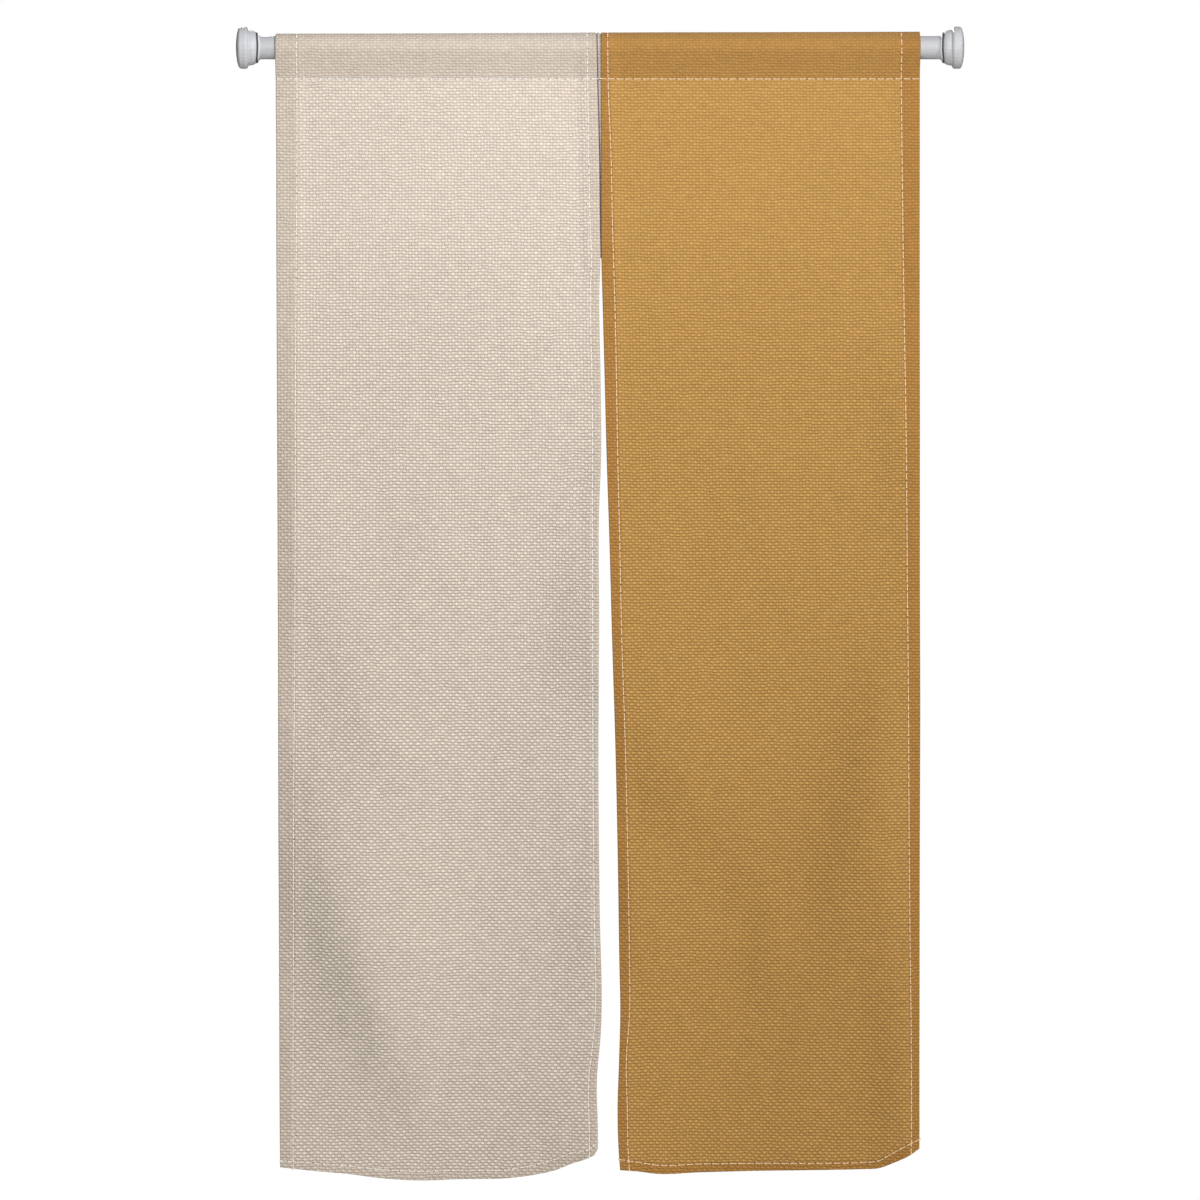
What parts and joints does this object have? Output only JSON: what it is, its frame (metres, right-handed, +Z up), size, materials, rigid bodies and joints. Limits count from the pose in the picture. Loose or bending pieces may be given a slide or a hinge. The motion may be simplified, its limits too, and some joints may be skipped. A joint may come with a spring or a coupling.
{
  "type": "noren curtain on a tension rod",
  "caption": "Split doorway curtain of coarse two-tone cloth, joined at the top by a strip and hung by its rod pocket from a tension rod that presses between two jambs.",
  "frame": {"origin": "middle of the left end cap's flat face, where it presses on the jamb, on the rod's axis", "axes": "+X along the rod to the right end cap, +Z up, and the cloth's front faces -Y"},
  "size_m": [0.96, 0.0561, 1.5245],
  "materials": {
    "beige_cloth": "coarse open plain weave, matt",
    "mustard_cloth": "coarse open plain weave, matt",
    "strip_cloth": "plain weave, matt",
    "rod_tube": "satin light grey",
    "end_cap": "satin light grey",
    "grip_ring": "matt",
    "collar": "satin white"
  },
  "bodies": {
    "root": {"left_panel": "beige_cloth", "right_panel": "mustard_cloth", "joining_strip": "strip_cloth", "rod_tube": "rod_tube", "left_end_cap": "end_cap", "right_end_cap": "end_cap", "left_grip_ring": "grip_ring", "right_grip_ring": "grip_ring", "left_collar": "collar", "right_collar": "collar"}
  },
  "joints": []
}
